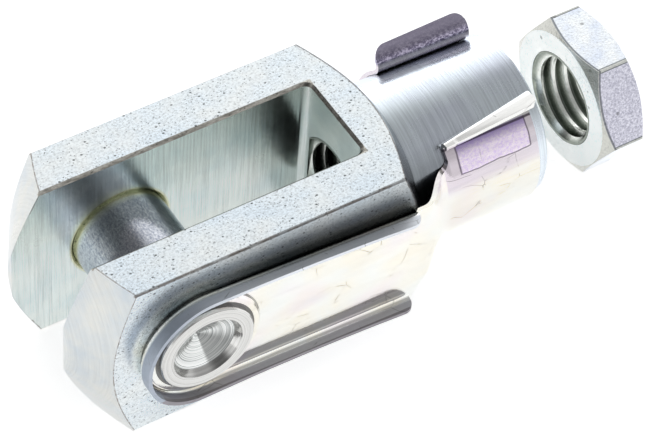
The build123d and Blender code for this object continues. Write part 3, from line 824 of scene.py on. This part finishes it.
# %% Thread: measures in millimetres
PITCH = 1.75
WALL = THREAD + 0.02  # radius where the ridge starts
CREST = 5.08          # radius where it ends
WALL_WIDTH = 1.56     # 7/8 of the pitch, and a little for the part inside the wall
CREST_WIDTH = 0.42    # about a quarter of the pitch
MOUTH = 5.75          # radius of the countersink at the face
STEPS = 64            # straight pieces in one turn
print("thread ridge:", round(WALL - CREST, 2), "mm high,", WALL_WIDTH, "mm wide at the wall")

# %% [markdown]
# ### Zinc in a thread
#
# Plating hardly reaches into a thread, which leaves the groove greenish. The crest is bright, partly
# because the tap burnishes it and partly as a painted highlight, and the groove is painted dark as
# the shade deep in the thread, so the colour follows the distance from the bore's axis. The tap's
# marks, a few hundredths of a millimetre apart, are drawn at 0.15.

# %% Thread: material
def thread_zinc(name, side, lift):
    """Plating in a thread: crest rubbed and painted bright, groove greenish and painted dark as its shade.
    """
    material, tree, where, _ = start(name)
    from_axis = add(tree, "VectorMath", "SUBTRACT", i0=where, i1=(side, 0, lift))
    from_axis = add(tree, "VectorMath", "MULTIPLY", i0=from_axis, i1=(1, 0, 1))
    radius = add(tree, "VectorMath", "LENGTH", i0=from_axis).outputs["Value"]
    # painted shade and highlight: the groove darkens and the crest brightens with the radius
    deep = add(tree, "MapRange", SMOOTH, Value=radius, From_Min=CREST, From_Max=CREST + 0.7)
    tool_place = add(tree, "VectorMath", "DIVIDE", i0=where, i1=(0.5, 0.15, 0.5))
    tool = add(tree, "TexNoise", Vector=tool_place, Scale=1.0, Detail=2.0, Roughness=0.6)
    crest = add(tree, "Mix", COLOUR, Factor=tool, A=linear("C6CCC6"), B=linear("FBFCF8"))
    shaded_groove = add(tree, "Mix", COLOUR, Factor=tool, A=linear("6C736C"), B=linear("9AA198"))
    colour = add(tree, "Mix", COLOUR, Factor=deep, A=crest, B=shaded_groove)
    bump = add(tree, "Bump", Height=tool, Strength=1.0, Distance=0.006 * MM)
    shader = add(
        tree, "BsdfPrincipled", Base_Color=colour, Metallic=1.0, Roughness=0.22, Normal=bump)
    add(tree, "OutputMaterial", Surface=shader)
    print(name, "of", len(tree.nodes), "nodes")
    return material


# %% [markdown]
# ### The profile
#
# Operators work on what is selected and active, so a small helper picks one piece and nothing else.
# The profile is a plane, widened to the wall's width, of which the two points at the crest are then
# drawn together.

# %% Thread: profile
def pick(piece):
    """Select one piece alone and make it the active one."""
    bpy.ops.object.select_all(action="DESELECT")
    piece.select_set(True)
    bpy.context.view_layer.objects.active = piece


def thread_profile(name, side, begin, lift):
    """The ridge's cross-section, flat in x and y, at a place in millimetres."""
    bpy.ops.object.select_all(action="DESELECT")
    bpy.ops.mesh.primitive_plane_add(size=MM, location=(side * MM, begin * MM, lift * MM))
    ridge = bpy.context.object
    ridge.name = name
    middle = (WALL + CREST) / 2 * MM
    bpy.ops.object.mode_set(mode="EDIT")
    bpy.ops.mesh.select_all(action="SELECT")
    bpy.ops.transform.resize(value=(WALL - CREST, WALL_WIDTH, 1))
    bpy.ops.transform.translate(value=(middle, 0, 0))
    bpy.ops.object.mode_set(mode="OBJECT")
    for vertex in ridge.data.vertices:
        vertex.select = vertex.co.x < middle
    for edge in ridge.data.edges:
        edge.select = all(ridge.data.vertices[end].select for end in edge.vertices)
    for polygon in ridge.data.polygons:
        polygon.select = False
    bpy.ops.object.mode_set(mode="EDIT")
    bpy.ops.transform.resize(value=(1, CREST_WIDTH / WALL_WIDTH, 1))
    bpy.ops.object.mode_set(mode="OBJECT")
    print(name, "profile of", len(ridge.data.vertices), "points")
    return ridge


# %% [markdown]
# ### Winding and facing
#
# The Screw modifier winds the profile round its object's own y axis, one pitch for each turn. Then
# the place is applied, doubled points are merged, the two open ends are filled and the faces are
# made to point outwards, because both cuts need a closed solid. Bisect cuts the ridge just inside
# each face and fills the cut.

# %% Thread: wind and face
def wind(ridge, turns):
    """Wind the profile into a closed ridge of some turns."""
    bpy.ops.object.modifier_add(type="SCREW")
    screw = ridge.modifiers[-1]
    screw.axis = "Y"
    screw.screw_offset = PITCH * MM
    screw.iterations = turns
    screw.steps = STEPS
    screw.render_steps = STEPS
    screw.use_smooth_shade = False
    bpy.ops.object.modifier_apply(modifier=screw.name)
    bpy.ops.object.transform_apply(location=True, rotation=False, scale=False)
    bpy.ops.object.mode_set(mode="EDIT")
    bpy.ops.mesh.select_all(action="SELECT")
    bpy.ops.mesh.remove_doubles(threshold=0.001 * MM)
    bpy.ops.mesh.fill_holes(sides=4)
    bpy.ops.mesh.select_all(action="SELECT")
    bpy.ops.mesh.normals_make_consistent(inside=False)
    bpy.ops.object.mode_set(mode="OBJECT")
    print(ridge.name, "wound in", turns, "turns")


def face_off(front, back):
    """Cut the active ridge flush with the faces at front and back."""
    bpy.ops.object.mode_set(mode="EDIT")
    for cut, at_back in ((front + 0.01, False), (back - 0.01, True)):
        bpy.ops.mesh.select_all(action="SELECT")
        bpy.ops.mesh.bisect(
            plane_co=(0, cut * MM, 0), plane_no=(0, 1, 0), use_fill=True,
            clear_inner=not at_back, clear_outer=at_back, threshold=1e-7)
    bpy.ops.object.mode_set(mode="OBJECT")
    print("cut flush at y", round(front, 2), "and", round(back, 2), "mm")


# %% [markdown]
# ### The countersinks
#
# A cone that is a little wider than the bore stands in each mouth, and a boolean takes it away from
# the ridge. It needs its 128 sides, because its edge shows as a circle. The exact solver is used,
# because the ridge and the cone meet at shallow angles.

# %% Thread: countersink
def countersink(ridge, side, lift, mouth, way):
    """Take a 45 degree cone away at a mouth; way is 1 into the bore along y, and -1 against it."""
    reach = MOUTH + 1
    bpy.ops.object.select_all(action="DESELECT")
    bpy.ops.mesh.primitive_cone_add(
        vertices=128, radius1=reach * MM, radius2=0, depth=reach * MM,
        location=(side * MM, (mouth + way * (reach / 2 - 1)) * MM, lift * MM),
        rotation=(-way * pi / 2, 0, 0))
    cone = bpy.context.object
    pick(ridge)
    bpy.ops.object.modifier_add(type="BOOLEAN")
    cut = ridge.modifiers[-1]
    cut.operation = "DIFFERENCE"
    cut.solver = "EXACT"
    cut.object = cone
    bpy.ops.object.modifier_apply(modifier=cut.name)
    bpy.data.objects.remove(cone)
    print(ridge.name, "countersunk at y", round(mouth, 2), "mm")


# %% [markdown]
# ### Both threads
#
# The fork is tapped from the bottom of the slot to the shank's end, and the nut from face to face.
# Each ridge rides with the fork's body, because neither turns in it.

# %% Thread: cut both
def thread(name, side, lift, front, back):
    """A thread ridge in a bore along y, from front to back, round an axis at side and lift, in mm."""
    ridge = thread_profile(name, side, front - PITCH, lift)
    wind(ridge, int((back - front) / PITCH) + 3)
    face_off(front, back)
    for mouth, way in ((front, 1), (back, -1)):
        countersink(ridge, side, lift, mouth, way)
    pick(ridge)
    bpy.ops.object.shade_smooth_by_angle(angle=radians(35))
    ridge.data.materials.clear()
    ridge.data.materials.append(thread_zinc(name + "_zinc_plated_steel", side, lift))
    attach(ridge, "fork")
    print(name, "has", len(ridge.data.polygons), "faces after the cuts")


thread("fork_thread", 0.0, 0.0, SLOT_END, SHANK_END)
thread("nut_thread", NUT_SIDE, NUT_LIFT, NUT_FRONT, NUT_BACK)

# %% [markdown]
# ## Light
#
# Metal shows what stands round it, so the light is a sky of soft patches more than a lamp. Each
# patch is a direction, the angle inside which it is full, the angle past which it is gone, and its
# brightness. Later patches cover earlier ones. The camera itself sees plain white.

# %% Sky
SKY = 0.70
PATCHES = [
    # azimuth from +X towards +Y, elevation, full within, gone past, brightness
    (150, 14, 18, 52, 1.30),     # a white screen behind, on the far side
    (60, 62, 20, 45, 0.42),      # a grey ceiling over the rear
    (34, 48, 8, 17, 0.42),       # a grey card, which the hook's upper side sees
    (-128, 25, 18, 40, 0.16),    # the dark room in front
    (-150, 50, 12, 28, 0.15),    # a black flag above it
    (-38, 46, 12, 40, 0.13),     # a black flag beside the clip
    (22, 8, 8, 16, 0.95),        # a bright strip low down, which the pressed panel sees
]
world = bpy.data.worlds.new("studio")
bpy.context.scene.world = world
world.use_nodes = True
tree = world.node_tree
tree.nodes.clear()
direction = add(tree, "TexCoord").outputs["Generated"]
sky = SKY
for azimuth, elevation, full, gone, brightness in PATCHES:
    level = cos(radians(elevation))
    middle = (level * cos(radians(azimuth)), level * sin(radians(azimuth)), sin(radians(elevation)))
    near = add(tree, "VectorMath", "DOT_PRODUCT", i0=direction, i1=middle)
    amount = add(
        tree, "MapRange", SMOOTH, Value=near, From_Min=cos(radians(gone)), From_Max=cos(radians(full)))
    sky = add(tree, "Mix", Factor=amount, A=sky, B=brightness)
camera_ray = add(tree, "LightPath").outputs["Is Camera Ray"]
seen = add(tree, "Mix", Factor=camera_ray, A=sky, B=1.0)
background = add(tree, "Background", Color=seen, Strength=1.0)
add(tree, "OutputWorld", Surface=background)
print("sky of", len(PATCHES), "patches")

# %% [markdown]
# ### The key lamp
#
# One large softbox stands low behind the fork on the far side. It skims over the top faces, where
# it brings out the grain, and gives the turned shank its bright band. Its size keeps the shadows
# soft.

# %% Lamp
lamp_place = Vector((-520, 320, 160)) * MM
lamp_aim = Vector((0, 20, 0)) * MM
bpy.ops.object.light_add(type="AREA")
key = bpy.context.object
key.name = "key_softbox"
key.data.shape = "RECTANGLE"
key.data.size = 500 * MM
key.data.size_y = 300 * MM
key.data.energy = 0.6
key.location = lamp_place
key.rotation_euler = (lamp_aim - lamp_place).to_track_quat("-Z", "Y").to_euler()
print("softbox", round((lamp_aim - lamp_place).length / MM), "mm away")

# %% [markdown]
# ### White card underneath
#
# The part lies on white card, which is matt. Alone it would come out grey, so the camera, and
# whatever metal reflects it, also see it glow a little, while the light that it scatters stays that
# of plain card. It lies at the lowest point of the part.

# %% Floor
CARD_SIZE = 6    # metres
bpy.ops.object.select_all(action="DESELECT")
bpy.ops.mesh.primitive_plane_add(size=CARD_SIZE, location=(0, 0, cad_box[0][2]))
floor = bpy.context.object
floor.name = "floor"
paper = bpy.data.materials.new("white_card")
paper.use_nodes = True
tree = paper.node_tree
tree.nodes.clear()
path = add(tree, "LightPath").outputs
matt = add(tree, "BsdfDiffuse", Color=(0.9, 0.9, 0.9, 1))
lift = add(tree, "Emission", Color=(1, 1, 1, 1), Strength=0.72)
both = add(tree, "AddShader", i0=matt, i1=lift)
seen = add(tree, "Math", "MAXIMUM", i0=path["Is Camera Ray"], i1=path["Is Glossy Ray"])
seen = add(tree, "Math", "MAXIMUM", i0=seen, i1=path["Is Transmission Ray"])
mix = add(tree, "MixShader", i0=seen, i1=matt, i2=both)
add(tree, "OutputMaterial", Surface=mix)
floor.data.materials.append(paper)
print("card at z", round(cad_box[0][2] / MM, 2), "mm")

# %% [markdown]
# ## Colour management
#
# The standard view keeps white card white and leaves the tints as they were chosen. The visual
# model has to stay inside the CAD model's box.

# %% Colour management
bpy.context.scene.view_settings.view_transform = "Standard"
